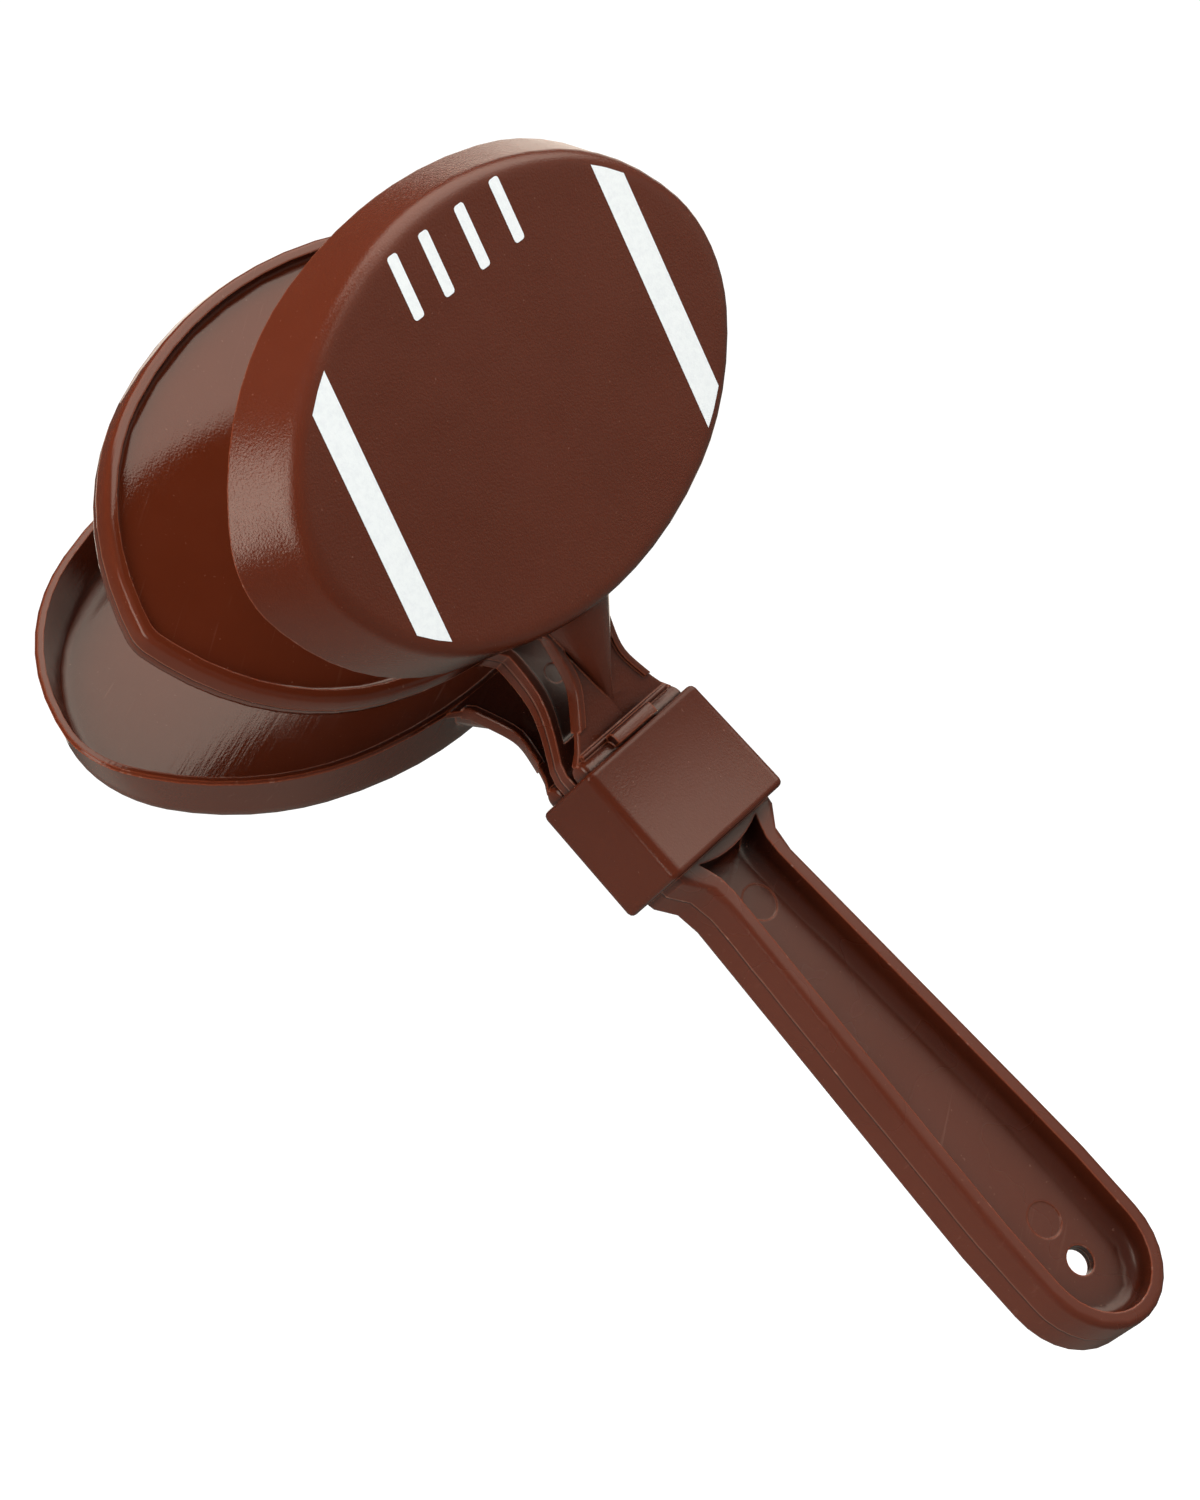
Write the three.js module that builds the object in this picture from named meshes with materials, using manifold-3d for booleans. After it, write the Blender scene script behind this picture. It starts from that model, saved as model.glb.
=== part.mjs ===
// A plastic hand clapper: a flat centre paddle on a long grip, with a hollow paddle hinged on each side.
// Shaking the grip throws the two hollow paddles against the centre one.
//
// Lengths are in millimetres and angles in degrees. +Z runs up the grip towards the paddles, +X is to
// the right and the front is towards -Y. The origin is in the middle of the grip.

import * as THREE from 'three';
import { mergeVertices } from 'three/addons/utils/BufferGeometryUtils.js';
import Module from 'manifold-3d';

const wasm = await Module();
wasm.setup();

// Grip, measured down from the lower edge of the collar
const gripLength = 99.4;
const gripThickness = 11.5;
const gripTopWidth = 15.8;
const gripEndWidth = 24.4;
const gripEndRise = 13.6;
const shoulderWidth = 24.4;
const shoulder = { start: 4.8, slope: 1.05, ease: 0.9 };
const gripRoot = 3;
const gripRimWidth = 2.6;
const gripRimRadius = 1;
const gripWeb = 2.2;
const channelFillet = 2;
const channelDraft = 0.4;
const channelBow = 1.5;
const channelTop = 0.6;

// Marks and the cord hole in the grip's web
const ejectorRadius = 3.1;
const ejectorDepth = 0.15;
const upperEjectorDrop = 11.4;
const lowerEjectorRise = 21.6;
const cordHoleRadius = 2.5;
const cordHoleRise = 13.2;

// Collar that slides up the grip and shuts the hinge grooves, a little wider at its lower end
const collarWidth = 28.6;
const collarDepth = 17.4;
const collarHeight = 21.2;
const collarDraft = 0.4;
const collarWall = 1.4;
const collarCornerRadius = 1.8;
const collarEdgeRadius = 1;
const collarLeadIn = 0.3;

// Football outlines of the paddles, each of crown, shoulder and tip arcs parted at two normal angles
const paddleLength = 108.6;
const paddleHeight = 71.8;
const bladeTips = { radius: 7, crown: 21, tip: 73 };
const rimTips = { radius: 17, crown: 17, tip: 66 };
const faceTips = { radius: 22, crown: 26, tip: 61 };

// Centre paddle and the neck under it
const bladeThickness = 6;
const bladeRimWidth = 2.3;
const bladeEdgeRadius = 0.9;
const bladeWeb = 2.2;
const bladeDraft = 0.4;
const centreNeckWidth = 10.6;
const centreNeckFootThickness = 3.8;
const centreNeckHeadThickness = 4.6;
const centreNeckFoot = { start: 12.6, slope: 0.7, ease: 2.2 };
const centreNeckHead = { start: 22.5, slope: 1.6, ease: 0.35 };
const centreNeckRim = 1.5;
const centreNeckDraft = 0.2;
const centreNeckWebFoot = 5.7;
const neckEjectorRadius = 1.7;
const neckEjectorRise = 15.2;

// Hollow outer paddles
const shellDepth = 11.6;
const shellWall = 1.4;
const shellLeanEnds = 4.6;
const shellLeanSides = 1.3;
const shellFillet = 2.3;
const shellFloorFillet = 1.2;
const shellRimRadius = 0.4;

// Necks of the outer paddles
const neckLength = 23.4;
const neckWaistWidth = 11.8;
const neckFoot = { start: 12.2, slope: 0.53, ease: 1 };
const neckFlare = { start: 3.6, slope: 0.7, ease: 0.4 };
const neckSpread = { start: 14, slope: 0.12, ease: 1 };
const neckHead = { start: 22.4, slope: 1.5, ease: 0.4 };
const neckPlate = 1.3;
const neckRibWidth = 1.3;
const neckRibOut = 0.6;
const neckRibIn = 0.6;
const neckRibStart = 6.2;
const gussetRadius = 7.6;
const gussetStart = 5.3;
const footLedge = 0.9;

// Hinge bars and the tabs that stop the paddles as they swing open
const barRadius = 2.2;
const barLength = 24.4;
const barEndRadius = 0.8;
const barRise = 0.2;
const tabWidth = 9.7;
const tabEdgeRadius = 0.9;
const splayAngle = 27;
const lipWidth = 11;
const lipOverhang = 0.7;
const lipFoot = 1.1;
const lipShoulder = 3.1;
const lipTop = 4.2;

// Clearances
const slideGap = 0.3;
const turnGap = 0.3;
const clapGap = 0.3;

// Fineness of curves
const arcSteps = 4;
const endSteps = 8;
const roundSides = 24;
const sideSteps = 14;
const paddleSteps = 16;
const paddleStepGrowth = 1.25;
const edgeTurns = [0, 0.3, 0.6, 1];
const filletTurns = [0, 0.33, 0.67, 1];
const shellTurns = [0, 0.2, 0.4, 0.6, 0.8, 1];
const quarter = Math.PI / 2;

// Places that follow from the sizes
const collarBottom = gripLength / 2;
const collarTop = collarBottom + collarHeight;
const hingeHeight = collarTop + barRise;
const boreHalfWidth = collarWidth / 2 - collarDraft - collarWall;
const boreHalfDepth = collarDepth / 2 - collarDraft - collarWall;
const hingeOffset = boreHalfDepth - turnGap - barRadius;
const coreHalfWidth = boreHalfWidth - slideGap;
const coreHalfDepth = boreHalfDepth - slideGap;
const paddleRise = neckLength + paddleHeight / 2;
const rimPlane = bladeThickness / 2 + clapGap - hingeOffset;
const splay = THREE.MathUtils.degToRad(splayAngle);

// Joining and cutting

// A closed solid from a geometry whose faces share their corner points.
function solid(geometry) {
  geometry.deleteAttribute('normal');
  geometry.deleteAttribute('uv');
  const merged = mergeVertices(geometry, 1e-5);
  const index = merged.index.array;
  const kept = [];
  for (let i = 0; i < index.length; i += 3) {
    const [a, b, c] = index.subarray(i, i + 3);
    if (a !== b && b !== c && c !== a) kept.push(a, b, c);
  }
  return new wasm.Manifold(new wasm.Mesh({
    numProp: 3,
    vertProperties: new Float32Array(merged.attributes.position.array),
    triVerts: new Uint32Array(kept),
  }));
}

function join(solids) {
  return solids.reduce((sum, next) => sum.add(next));
}

function cut(body, tools) {
  return body.subtract(join(tools));
}

// The finished mesh of one moulding.
function moulding(name, body, material) {
  const { numProp, vertProperties, triVerts } = body.getMesh();
  const geometry = new THREE.BufferGeometry();
  geometry.setAttribute('position', new THREE.BufferAttribute(new Float32Array(vertProperties), numProp));
  geometry.setIndex(new THREE.BufferAttribute(new Uint32Array(triVerts), 1));
  geometry.computeVertexNormals();
  const mesh = new THREE.Mesh(geometry, material);
  mesh.name = name;
  return mesh;
}

// Lofting

// A solid lofted through a stack of outlines. Each level says where its outline lies, how far it is drawn
// in from the nominal one, and what share it has of a second outline. Every outline runs anticlockwise
// and has as many points as the others.
function loft(outline, levels) {
  const rings = levels.map(({ at, inset, share }) => ({ at, points: outline(inset, share) }));
  const count = rings[0].points.length;
  const corners = rings.flatMap(({ at, points }) => points.flatMap(({ x, y }) => [x, y, at]));
  const faces = [];
  for (let ring = 0; ring + 1 < rings.length; ring += 1) {
    for (let i = 0; i < count; i += 1) {
      const a = ring * count + i;
      const b = ring * count + (i + 1) % count;
      faces.push(a, b, b + count, a, b + count, a + count);
    }
  }
  const lowerCap = THREE.ShapeUtils.triangulateShape(rings[0].points, []);
  const upperCap = THREE.ShapeUtils.triangulateShape(rings.at(-1).points, []);
  const top = (rings.length - 1) * count;
  lowerCap.forEach(([a, b, c]) => faces.push(a, c, b));
  upperCap.forEach(([a, b, c]) => faces.push(top + a, top + b, top + c));
  const geometry = new THREE.BufferGeometry();
  geometry.setAttribute('position', new THREE.Float32BufferAttribute(corners, 3));
  geometry.setIndex(faces);
  return geometry;
}

// Levels of a slab from one height to another, with both of its edges rounded and its sides drafted
// from the middle of its thickness.
function roundedSlab(low, high, radius, draft = 0) {
  const turn = edgeTurns.map((step) => step * quarter);
  const edge = turn.map((a) => ({ rise: radius * (1 - Math.cos(a)), inset: radius * (1 - Math.sin(a)) }));
  const lower = edge.map(({ rise, inset }) => ({ at: low + rise, inset: inset + draft }));
  const upper = edge.map(({ rise, inset }) => ({ at: high - rise, inset: inset + draft })).reverse();
  return draft ? [...lower, { at: (low + high) / 2, inset: 0 }, ...upper] : [...lower, ...upper];
}

// Levels of a pocket from its floor up through its mouth, with a filleted floor and drafted walls.
function pocket(floor, mouth, fillet, draft) {
  const turn = filletTurns.map((step) => step * quarter);
  const slope = draft / (mouth - floor);
  const base = turn.map((a) => {
    const rise = fillet * (1 - Math.cos(a));
    return { at: floor + rise, inset: fillet * (1 - Math.sin(a)) + draft - slope * rise };
  });
  return [...base, { at: mouth + draft, inset: -slope * draft }];
}

// The same levels on the other side of the middle plane.
function mirrored(levels) {
  return levels.map(({ at, inset }) => ({ at: -at, inset })).reverse();
}

// A profile drawn in the plane of the hinge's end view, outwards and upwards, carried across the width.
function acrossWidth(profile, width) {
  const options = { depth: width, bevelEnabled: false, curveSegments: 6 };
  const geometry = new THREE.ExtrudeGeometry(profile, options);
  geometry.translate(0, 0, -width / 2);
  geometry.rotateY(-quarter);
  return geometry;
}

function barAcross(radius, length, sides = roundSides) {
  const geometry = new THREE.CylinderGeometry(radius, radius, length, sides);
  geometry.rotateZ(quarter);
  return geometry;
}

// A round cutter pointing through the thickness, centred at a depth.
function drill(radius, length, height, depth) {
  const geometry = new THREE.CylinderGeometry(radius, radius, length, roundSides);
  geometry.rotateX(quarter);
  geometry.translate(0, height, depth);
  return geometry;
}

// How far a side has widened at a distance past the start of a flare, with a soft start.
function flared(distance, { slope, ease }) {
  return slope * ease * Math.log(1 + Math.exp(distance / ease));
}

// Widening below the start of a flare, and above it.
function widerBelow(height, flare) {
  return flared(flare.start - height, flare);
}

function widerAbove(height, flare) {
  return flared(height - flare.start, flare);
}

// A closed outline from its right-hand side, listed upwards, mirrored to the left.
function symmetric(rightSide) {
  const leftSide = rightSide.filter(({ x }) => x > 1e-6).map(({ x, y }) => new THREE.Vector2(-x, y));
  return [...rightSide, ...leftSide.reverse()];
}

// Outlines

// A quarter of a football outline from its three arcs: the point of the outline at each normal angle.
function footballQuarter(length, height, { radius, crown, tip }) {
  const [first, last] = [crown, tip].map(THREE.MathUtils.degToRad);
  const reach = length / 2 - radius * (1 - Math.sin(last));
  const rise = height / 2 - radius * Math.cos(last);
  const a = 1 - Math.cos(first);
  const b = Math.cos(first) - Math.cos(last);
  const c = Math.sin(first);
  const d = Math.sin(last) - Math.sin(first);
  const crownRadius = (rise * d - b * reach) / (a * d - b * c);
  const shoulderRadius = (a * reach - rise * c) / (a * d - b * c);
  const shoulder = new THREE.Vector2(c, Math.cos(first)).multiplyScalar(crownRadius - shoulderRadius);
  const crownCentre = new THREE.Vector2(0, height / 2 - crownRadius);
  const tipCentre = new THREE.Vector2(length / 2 - radius, 0);
  return (angle) => {
    const outward = new THREE.Vector2(Math.sin(angle), Math.cos(angle));
    if (angle <= first) return outward.multiplyScalar(crownRadius).add(crownCentre);
    if (angle >= last) return outward.multiplyScalar(radius).add(tipCentre);
    return outward.multiplyScalar(shoulderRadius).add(crownCentre).add(shoulder);
  };
}

// A whole outline about the paddle's centre, whose upper right quarter is given, drawn in by a distance.
function fourfold(quarterPoint) {
  return (inset, share) => {
    const side = [];
    for (let step = 0; step <= paddleSteps; step += 1) {
      const angle = quarter * (step / paddleSteps) ** paddleStepGrowth;
      const outward = new THREE.Vector2(Math.sin(angle), Math.cos(angle));
      side.push(quarterPoint(angle, share).addScaledVector(outward, -inset));
    }
    const lower = side.slice(0, -1).map(({ x, y }) => new THREE.Vector2(x, -y));
    return symmetric([...lower, ...side.reverse()]).map(({ x, y }) => new THREE.Vector2(x, y + paddleRise));
  };
}

const bladeOutline = fourfold(footballQuarter(paddleLength, paddleHeight, bladeTips));

// The hollow paddle's outline, which passes from its open rim to its smaller and rounder face.
const rimQuarter = footballQuarter(paddleLength, paddleHeight, rimTips);
const faceLength = paddleLength - 2 * shellLeanEnds;
const faceHeight = paddleHeight - 2 * shellLeanSides;
const faceQuarter = footballQuarter(faceLength, faceHeight, faceTips);
const shellOutline = fourfold((angle, share) => rimQuarter(angle).lerp(faceQuarter(angle), share));

// Half width of the grip at a distance below the collar, without its shoulders.
function gripTaper(drop) {
  const straight = gripLength - gripEndRise;
  return THREE.MathUtils.lerp(gripTopWidth, gripEndWidth, Math.min(drop / (straight - gripEndRise), 1)) / 2;
}

// A grip-shaped outline below the hinge height: rounded end, straight taper and any top edge.
function gripOutline(halfWidth, topDrop, endInset) {
  const straight = gripLength - gripEndRise;
  const side = [];
  for (let step = 0; step <= endSteps; step += 1) {
    const turn = quarter * step / endSteps;
    const width = halfWidth(straight) * Math.sin(turn);
    side.push(new THREE.Vector2(width, -straight - (gripEndRise - endInset) * Math.cos(turn)));
  }
  for (let step = 1; step <= sideSteps; step += 1) {
    const fromTop = 1 - step / sideSteps;
    const drop = topDrop + (straight - topDrop) * fromTop ** 2;
    side.push(new THREE.Vector2(halfWidth(drop), -drop));
  }
  return side;
}

function gripBody(inset) {
  const free = (drop) => gripTaper(drop) + widerBelow(drop, shoulder);
  const halfWidth = (drop) => Math.min(free(drop), shoulderWidth / 2) - inset;
  return symmetric(gripOutline(halfWidth, inset - gripRoot, inset));
}

// The hollow of the grip, whose top edge bows down below the collar.
function gripChannel(inset) {
  const halfWidth = (drop) => gripTaper(drop) + widerBelow(drop, shoulder) / 2 - gripRimWidth - inset;
  const side = gripOutline(halfWidth, channelTop + inset, gripRimWidth + inset);
  const corner = side.at(-1);
  const bow = [];
  for (let step = 1; step <= arcSteps; step += 1) {
    const across = 1 - step / arcSteps;
    bow.push(new THREE.Vector2(corner.x * across, corner.y - channelBow * (1 - across ** 2)));
  }
  return symmetric([...side, ...bow]);
}

// The neck of the centre paddle, measured up from the hinge height.
function centreNeckHalf(height) {
  const foot = widerBelow(height, centreNeckFoot);
  const head = widerAbove(height, centreNeckHead);
  return Math.min(centreNeckWidth / 2 + foot + head, coreHalfWidth);
}

// The neck of an outer paddle, measured up from the hinge bar.
function outerNeckHalf(height) {
  const foot = widerBelow(height, neckFoot) + widerBelow(height, neckFlare);
  const head = widerAbove(height, neckSpread) + widerAbove(height, neckHead);
  return Math.min(neckWaistWidth / 2 + foot + head, barLength / 2);
}

function neckOutline(half, bottom, top) {
  return (inset) => {
    const side = [];
    for (let step = 0; step <= sideSteps; step += 1) {
      const height = THREE.MathUtils.lerp(bottom + inset, top - inset, step / sideSteps);
      side.push(new THREE.Vector2(half(height) - inset, height));
    }
    return symmetric(side);
  };
}

function rectangleOutline(halfWidth, bottom, top) {
  return (inset) => symmetric([
    new THREE.Vector2(halfWidth - inset, bottom + inset),
    new THREE.Vector2(halfWidth - inset, top - inset),
  ]);
}

// A plan of the collar with round corners.
function collarPlan(halfWidth, halfDepth, corner) {
  return (inset) => {
    const points = [];
    const radius = Math.max(corner - inset, 0.2);
    for (let step = 0; step <= arcSteps; step += 1) {
      const turn = quarter * step / arcSteps;
      const x = halfWidth - inset - radius * (1 - Math.cos(turn));
      points.push(new THREE.Vector2(x, halfDepth - inset - radius * (1 - Math.sin(turn))));
    }
    const lower = points.map(({ x, y }) => new THREE.Vector2(x, -y)).reverse();
    return symmetric([...lower, ...points]);
  };
}

// Pieces. The grip and the paddles are drawn upright in the XY plane, with +Z towards their own outside.

// The grip with its hollow on each side, measured from the hinge height down.
function grip() {
  const halfThickness = gripThickness / 2;
  const body = solid(loft(gripBody, roundedSlab(-halfThickness, halfThickness, gripRimRadius)));
  const hollow = pocket(gripWeb / 2, halfThickness, channelFillet, channelDraft);
  const cordHole = drill(cordHoleRadius, gripThickness, cordHoleRise - gripLength, 0);
  const marks = [-upperEjectorDrop, lowerEjectorRise - gripLength].map((height) => {
    return solid(drill(ejectorRadius, 2 * ejectorDepth, height, gripWeb / 2));
  });
  const hollows = [hollow, mirrored(hollow)].map((levels) => solid(loft(gripChannel, levels)));
  return cut(body, [...hollows, solid(cordHole), ...marks]).translate([0, -collarHeight - barRise, 0]);
}

// The block that fills the collar and carries the hinge bars in two grooves.
function core() {
  const outline = rectangleOutline(coreHalfWidth, -collarHeight - barRise, -barRadius / 2);
  return solid(loft(outline, roundedSlab(-coreHalfDepth, coreHalfDepth, slideGap)));
}

// The neck under the centre paddle: a thin web with a rim, thicker towards the paddle.
function centreNeck() {
  const bottom = -barRadius;
  const top = neckLength + bladeRimWidth;
  const outline = neckOutline(centreNeckHalf, bottom, top);
  const half = bladeThickness / 2;
  const full = solid(loft(outline, roundedSlab(-half, half, bladeEdgeRadius / 2)));
  const innerHalf = (height) => centreNeckHalf(height) - centreNeckRim;
  const inner = neckOutline(innerHalf, centreNeckWebFoot, neckLength + bladeDraft);
  const hollow = pocket(bladeWeb / 2, half, bladeEdgeRadius, centreNeckDraft);
  const taper = new THREE.Shape();
  taper.moveTo(centreNeckFootThickness / 2, bottom - 1);
  taper.lineTo(bladeThickness, bottom - 1);
  taper.lineTo(bladeThickness, neckLength);
  taper.lineTo(centreNeckHeadThickness / 2, neckLength);
  taper.lineTo(centreNeckFootThickness / 2, barRadius * 2);
  const front = solid(acrossWidth(taper, collarWidth));
  const hollows = [hollow, mirrored(hollow)].map((levels) => solid(loft(inner, levels)));
  const mark = solid(drill(neckEjectorRadius, 2 * ejectorDepth, neckEjectorRise, bladeWeb / 2));
  return cut(full, [front, front.mirror([0, 0, 1]), ...hollows, mark]);
}

// Ridges on the neck that reach over the inner flanks of the hinge bars and keep them down.
function hingeLips() {
  const reach = hingeOffset - barRadius + lipOverhang;
  const ridge = new THREE.Shape();
  ridge.moveTo(0, lipFoot);
  ridge.lineTo(reach, lipFoot);
  ridge.lineTo(reach, lipShoulder);
  ridge.quadraticCurveTo(reach, lipTop, 0, lipTop);
  const front = solid(acrossWidth(ridge, lipWidth));
  return join([front, front.mirror([0, 0, 1])]);
}

// The flat centre paddle: a thin web inside a rounded rim.
function blade() {
  const half = bladeThickness / 2;
  const body = solid(loft(bladeOutline, roundedSlab(-half, half, bladeEdgeRadius, bladeDraft)));
  const hollow = pocket(bladeWeb / 2, half, bladeEdgeRadius, bladeDraft);
  const inside = (inset) => bladeOutline(bladeRimWidth + inset);
  const hollows = [hollow, mirrored(hollow)].map((levels) => solid(loft(inside, levels)));
  return cut(body, hollows);
}

function handleMoulding() {
  const grooves = [-hingeOffset, hingeOffset].map((depth) => {
    return solid(barAcross(barRadius + turnGap, collarWidth).translate(0, 0, depth));
  });
  return cut(join([grip(), core(), centreNeck(), hingeLips(), blade()]), grooves);
}

// A collar with drafted sides, rounded edges and an eased mouth at its lower end.
function collar() {
  const edges = roundedSlab(0, collarHeight, collarEdgeRadius).map(({ at, inset }) => {
    return { at, inset: inset + collarDraft * at / collarHeight };
  });
  const outside = collarPlan(collarWidth / 2, collarDepth / 2, collarCornerRadius);
  const inside = collarPlan(boreHalfWidth, boreHalfDepth, collarCornerRadius - collarWall);
  const bore = [
    { at: -1, inset: -collarLeadIn },
    { at: 0, inset: -collarLeadIn },
    { at: collarLeadIn, inset: 0 },
    { at: collarHeight + 1, inset: 0 },
  ];
  return cut(solid(loft(outside, edges)), [solid(loft(inside, bore))]);
}

// Levels of one side of the hollow paddle's wall up to a flat end, with a fillet at that end. The wall
// leans in steadily from the open rim.
function leaningWall(end, fillet, thickness, steps) {
  const leanEnd = shellDepth - shellFillet;
  return steps.map((step) => {
    const turn = step * quarter;
    const inset = thickness + fillet * (1 - Math.cos(turn));
    return { at: end - fillet + fillet * Math.sin(turn), inset, share: Math.min((end - fillet) / leanEnd, 1) };
  });
}

// Levels of the hollow paddle's outside, from its open rim to its flat face.
function shellOutside() {
  const rim = [{ at: 0, inset: shellRimRadius, share: 0 }, { at: shellRimRadius, inset: 0, share: 0 }];
  return [...rim, ...leaningWall(shellDepth, shellFillet, 0, shellTurns)];
}

function shellInside() {
  const floor = shellDepth - shellWall;
  const mouth = [{ at: -shellDepth, inset: shellWall, share: 0 }, { at: 0, inset: shellWall, share: 0 }];
  return [...mouth, ...leaningWall(floor, shellFloorFillet, shellWall, filletTurns)];
}

// The flat neck plate with a rib along each edge and a ledge above the bar.
function outerNeck() {
  const plateTop = neckLength + shellWall / 2;
  const plate = neckOutline(outerNeckHalf, barRise, plateTop);
  const band = neckOutline(outerNeckHalf, neckRibStart, plateTop - shellWall);
  const between = neckOutline((height) => outerNeckHalf(height) - neckRibWidth, 0, neckLength + shellWall);
  const inner = roundedSlab(-neckRibIn, neckPlate + neckRibOut, neckRibWidth / 4);
  const hollow = [{ at: neckPlate, inset: 0 }, { at: shellDepth, inset: 0 }];
  const back = [{ at: -shellDepth, inset: 0 }, { at: 0, inset: 0 }];
  const ribs = cut(solid(loft(band, inner)), [hollow, back].map((levels) => solid(loft(between, levels))));
  const ledge = rectangleOutline(barLength / 2 - neckRibWidth, barRadius, barRadius + footLedge);
  const ledgeLevels = roundedSlab(0, neckPlate + neckRibOut, neckRibWidth / 4);
  const flat = solid(loft(plate, roundedSlab(0, neckPlate, neckRibWidth / 4)));
  return join([flat, ribs, solid(loft(ledge, ledgeLevels))]);
}

// Half a cone that braces the neck against the paddle's lower wall.
function gusset() {
  const height = neckLength + shellWall - gussetStart;
  const cone = new THREE.ConeGeometry(gussetRadius, height, roundSides);
  cone.rotateX(Math.PI);
  cone.translate(0, gussetStart + height / 2, neckPlate / 2);
  const front = rectangleOutline(gussetRadius * 2, 0, neckLength * 2);
  const levels = [{ at: neckPlate / 2, inset: 0 }, { at: shellDepth, inset: 0 }];
  return solid(cone).intersect(solid(loft(front, levels)));
}

// The round bar that the paddle turns on, with eased ends.
function hingeBar() {
  const half = barLength / 2;
  const profile = [new THREE.Vector2(0, -half)];
  [-1, 1].forEach((end) => {
    for (let step = 0; step <= 3; step += 1) {
      const turn = quarter * (end < 0 ? step / 3 : 1 - step / 3);
      const reach = barRadius - barEndRadius * (1 - Math.sin(turn));
      profile.push(new THREE.Vector2(reach, end * (half - barEndRadius * (1 - Math.cos(turn)))));
    }
  });
  profile.push(new THREE.Vector2(0, half));
  return solid(new THREE.LatheGeometry(profile, roundSides).rotateZ(-quarter));
}

// The tab that comes down on the collar's top edge when the paddle swings open.
function stopTab() {
  const reach = collarDepth / 2 - collarDraft - slideGap - hingeOffset;
  const bottom = turnGap - barRise;
  const tab = new THREE.Shape();
  tab.moveTo(0, bottom);
  tab.lineTo(reach, bottom);
  tab.lineTo(reach, barRadius - tabEdgeRadius);
  tab.quadraticCurveTo(reach, barRadius, reach - tabEdgeRadius, barRadius);
  tab.lineTo(0, barRadius);
  return solid(acrossWidth(tab, tabWidth).rotateX(-splay));
}

// A hollow paddle about its hinge line, standing upright as when the clapper is shut.
function outerPaddle() {
  const dish = solid(loft(shellOutline, shellOutside()));
  const room = solid(loft(shellOutline, shellInside()));
  const shell = cut(join([dish, outerNeck(), gusset()]), [room]).translate([0, 0, rimPlane]);
  return join([shell, hingeBar(), stopTab()]);
}

// Hangs a paddle on its hinge line, swung open against its stop.
function hung(mesh, side) {
  mesh.rotation.x = quarter + splay;
  mesh.position.set(0, -hingeOffset, hingeHeight);
  const group = new THREE.Group();
  group.rotation.z = side === 'rear' ? Math.PI : 0;
  group.add(mesh);
  return group;
}

const brown = new THREE.MeshStandardMaterial({ color: '#5a2d22', roughness: 0.38, metalness: 0 });
const collarBrown = new THREE.MeshStandardMaterial({ color: '#5e3228', roughness: 0.42, metalness: 0 });

const handleMesh = moulding('handle_and_centre_paddle', handleMoulding(), brown);
handleMesh.rotation.x = quarter;
handleMesh.position.z = hingeHeight;

const collarMesh = moulding('collar', collar(), collarBrown);
collarMesh.position.z = collarBottom;

const paddleShape = outerPaddle();
const clapper = new THREE.Group();
clapper.add(handleMesh, collarMesh);
clapper.add(hung(moulding('front_paddle', paddleShape, brown), 'front'));
clapper.add(hung(moulding('rear_paddle', paddleShape, brown), 'rear'));

export default clapper;
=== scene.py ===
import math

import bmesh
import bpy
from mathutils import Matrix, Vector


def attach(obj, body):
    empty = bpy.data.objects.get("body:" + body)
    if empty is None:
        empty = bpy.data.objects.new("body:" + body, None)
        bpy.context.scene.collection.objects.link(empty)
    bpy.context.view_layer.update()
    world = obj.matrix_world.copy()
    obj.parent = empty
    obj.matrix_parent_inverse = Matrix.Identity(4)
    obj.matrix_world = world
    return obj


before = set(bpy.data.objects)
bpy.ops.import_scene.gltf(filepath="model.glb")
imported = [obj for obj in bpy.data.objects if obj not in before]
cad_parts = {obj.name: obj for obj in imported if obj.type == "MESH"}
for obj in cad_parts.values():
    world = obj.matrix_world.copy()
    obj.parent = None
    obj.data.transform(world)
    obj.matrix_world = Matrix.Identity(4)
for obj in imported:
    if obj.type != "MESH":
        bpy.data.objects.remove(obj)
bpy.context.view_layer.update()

# %% [markdown]
# # A plastic hand clapper, dressed for its photograph
#
# The clapper is four plastic mouldings: the grip with the flat centre paddle, a collar, and a hollow
# paddle on each side that swings on a bar inside the collar. Their shapes come with the frame, true to
# size. What Blender adds is everything the eye reads as "moulded brown plastic": a soft gloss, edges that
# are never quite sharp, the seam where the mould halves met, small scuffs, and the white print.

# %% [markdown]
# ## Where each paddle lies
#
# An outer paddle is tilted on its hinge, so anything printed on it has to be placed on the tilted face.
# The hinge's place is in the frame, and the tilt can be read from the face itself: the flat face is the
# largest group of faces that look the same way. Two faces count as one group when their directions agree
# to two decimals and their depths to a tenth of a millimetre. Measuring the face keeps the print right even
# if the model's splay is changed later, which typing in an angle would not.

# %% The plane of a paddle's flat outer face
roughly_outward = 0.3


def flat_face(node, outward):
    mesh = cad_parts[node].data
    planes = {}
    for polygon in mesh.polygons:
        if polygon.normal.dot(outward) > roughly_outward:
            depth = polygon.center.dot(polygon.normal)
            key = tuple(round(v, 2) for v in polygon.normal) + (round(depth, 4),)
            planes.setdefault(key, []).append(polygon)
    face = max(planes.values(), key=lambda group: sum(p.area for p in group))
    normal = sum((p.normal * p.area for p in face), Vector()).normalized()
    corners = {i for p in face for i in p.vertices}
    points = [mesh.vertices[i].co.copy() for i in corners]
    middle = Vector([(min(c[a] for c in points) + max(c[a] for c in points)) / 2 for a in range(3)])
    return middle, normal, points


front_middle, front_normal, front_corners = flat_face("front_paddle", Vector((0, -1, 0)))
front_up = Vector((1, 0, 0)).cross(front_normal) * -1
print("front face middle mm", [round(v * 1000, 2) for v in front_middle])
print("tilt", round(math.degrees(math.asin(-front_normal.z)), 2), "up", [round(v, 3) for v in front_up])

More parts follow.
